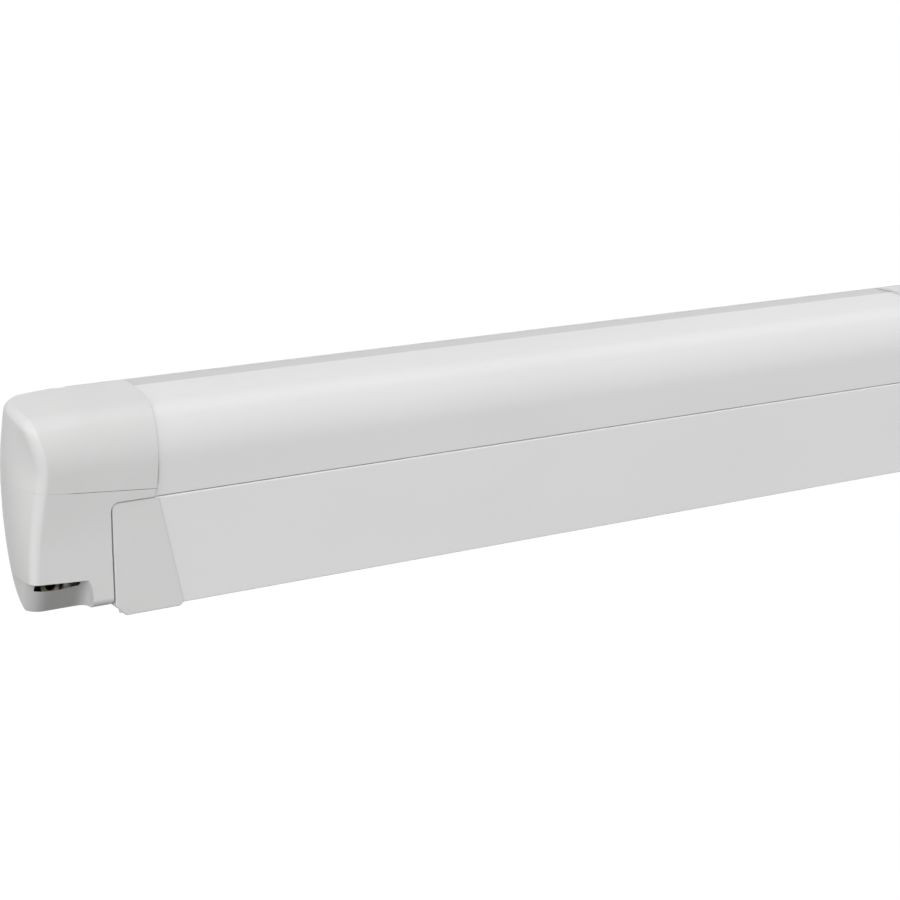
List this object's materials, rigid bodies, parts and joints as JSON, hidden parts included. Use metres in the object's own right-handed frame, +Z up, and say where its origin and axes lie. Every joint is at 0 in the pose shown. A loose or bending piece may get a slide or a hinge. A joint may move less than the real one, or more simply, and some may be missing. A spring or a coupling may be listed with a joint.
{
  "type": "roll out awning",
  "caption": "Wall-hung cassette awning with a winch-driven roller, folding arms, a lead rail that closes the case, and telescopic legs stowed in it.",
  "frame": {"origin": "centre of the wall bolt pattern, on the wall plane", "axes": "+X along the case from the winch end to the plain end, +Y into the wall, +Z up"},
  "size_m": [1.1, 0.0926, 0.1889],
  "materials": {
    "powder_white": "satin powder coat",
    "cap_white": "smooth moulded",
    "seal_white": "soft extruded strip",
    "cast_aluminium": "die cast",
    "bare_aluminium": "mill finish",
    "plated_steel": "zinc plated",
    "cream_nylon": "moulded",
    "dark_nylon": "moulded",
    "canopy_cloth": "coated cloth",
    "bead_plastic": "extruded"
  },
  "bodies": {
    "housing": {"housing_profile": "powder_white", "rear_seal": "seal_white", "left_upper_cap": "cap_white", "left_lower_cap": "cap_white", "right_upper_cap": "cap_white", "right_lower_cap": "cap_white", "cap_screws": "plated_steel", "left_end_plate": "cast_aluminium", "right_end_plate": "cast_aluminium", "plate_screws": "plated_steel", "roller_bushes": "cream_nylon", "gearbox_case": "dark_nylon", "gearbox_cover": "dark_nylon", "shoulder_brackets": "cast_aluminium", "shoulder_pins": "plated_steel", "wall_brackets": "cast_aluminium", "bracket_screws": "plated_steel"},
    "roller": {"roller_tube": "bare_aluminium", "drive_plug": "dark_nylon", "idle_plug": "dark_nylon", "worm_wheel": "cream_nylon", "canopy_roll": "canopy_cloth"},
    "winch": {"worm_shaft": "plated_steel", "winch_eye": "cream_nylon"},
    "left_upper": {"left_upper_arm": "powder_white", "left_shoulder_knuckle": "cast_aluminium", "left_elbow_fork": "cast_aluminium", "left_elbow_pin": "plated_steel", "left_arm_spring": "plated_steel"},
    "left_fore": {"left_forearm": "powder_white", "left_elbow_tongue": "cast_aluminium", "left_wrist_knuckle": "cast_aluminium"},
    "right_upper": {"right_upper_arm": "powder_white", "right_shoulder_knuckle": "cast_aluminium", "right_elbow_fork": "cast_aluminium", "right_elbow_pin": "plated_steel", "right_arm_spring": "plated_steel"},
    "right_fore": {"right_forearm": "powder_white", "right_elbow_tongue": "cast_aluminium", "right_wrist_knuckle": "cast_aluminium"},
    "lead": {"lead_rail": "powder_white", "left_lead_cap": "cap_white", "right_lead_cap": "cap_white", "wrist_brackets": "cast_aluminium", "wrist_pins": "plated_steel", "canopy_bead": "bead_plastic", "leg_brackets": "cast_aluminium", "leg_pins": "plated_steel"},
    "left_leg": {"left_leg_tube": "powder_white", "left_leg_knuckle": "dark_nylon", "left_leg_collar": "dark_nylon"},
    "left_leg_slide": {"left_leg_inner": "bare_aluminium", "left_foot": "dark_nylon"},
    "right_leg": {"right_leg_tube": "powder_white", "right_leg_knuckle": "dark_nylon", "right_leg_collar": "dark_nylon"},
    "right_leg_slide": {"right_leg_inner": "bare_aluminium", "right_foot": "dark_nylon"},
    "canopy": {"canopy_stretch": "canopy_cloth"}
  },
  "joints": [
    {"name": "roll_out", "type": "hinge", "parent": "housing", "child": "left_upper", "pos_m": [-0.4, -0.03114, -0.04036], "axis": [0, 0.1392, -0.9903], "range_deg": [0, 70]},
    {"name": "left_elbow", "type": "hinge", "parent": "left_upper", "child": "left_fore", "pos_m": [-0.025, -0.045, -0.04231], "axis": [0, 0.1392, -0.9903], "range_deg": [-140, 0]},
    {"name": "left_wrist", "type": "hinge", "parent": "left_fore", "child": "lead", "pos_m": [-0.4, -0.05886, -0.04426], "axis": [0, 0.1392, -0.9903], "range_deg": [0, 70]},
    {"name": "right_shoulder", "type": "hinge", "parent": "housing", "child": "right_upper", "pos_m": [0.4, -0.03114, -0.04036], "axis": [0, 0.1392, -0.9903], "range_deg": [-70, 0]},
    {"name": "right_elbow", "type": "hinge", "parent": "right_upper", "child": "right_fore", "pos_m": [0.025, -0.045, -0.04231], "axis": [0, 0.1392, -0.9903], "range_deg": [0, 140]},
    {"name": "roller_spin", "type": "hinge", "parent": "housing", "child": "roller", "pos_m": [0, -0.0455, 0.02999], "axis": [-1, 0, 0], "range_deg": [0, 1333]},
    {"name": "winch_spin", "type": "hinge", "parent": "housing", "child": "winch", "pos_m": [-0.523, -0.0652, 0], "axis": [0, 0, -1], "range_deg": [0, 21325]},
    {"name": "canopy_pull", "type": "slide", "parent": "housing", "child": "canopy", "axis": [0, -0.9903, -0.1392], "range_m": [0, 0.6864], "deforming": ["canopy_stretch"]},
    {"name": "left_leg_fold", "type": "hinge", "parent": "lead", "child": "left_leg", "pos_m": [-0.446, -0.07366, -0.08641], "axis": [0, 1, 0], "range_deg": [0, 90]},
    {"name": "right_leg_fold", "type": "hinge", "parent": "lead", "child": "right_leg", "pos_m": [0.446, -0.05116, -0.08641], "axis": [0, -1, 0], "range_deg": [0, 90]},
    {"name": "left_leg_extend", "type": "slide", "parent": "left_leg", "child": "left_leg_slide", "axis": [1, 0, 0], "range_m": [0, 0.32]},
    {"name": "right_leg_extend", "type": "slide", "parent": "right_leg", "child": "right_leg_slide", "axis": [-1, 0, 0], "range_m": [0, 0.32]}
  ],
  "couplings": [
    {"joint": "left_elbow", "follows": "roll_out", "ratio": -2},
    {"joint": "left_wrist", "follows": "roll_out", "ratio": 1},
    {"joint": "right_shoulder", "follows": "roll_out", "ratio": -1},
    {"joint": "right_elbow", "follows": "roll_out", "ratio": 2},
    {"joint": "roller_spin", "follows": "roll_out", "ratio": 19.04},
    {"joint": "winch_spin", "follows": "roll_out", "ratio": 304.64},
    {"joint": "canopy_pull", "follows": "roll_out", "m_per_rad": 0.56178}
  ]
}
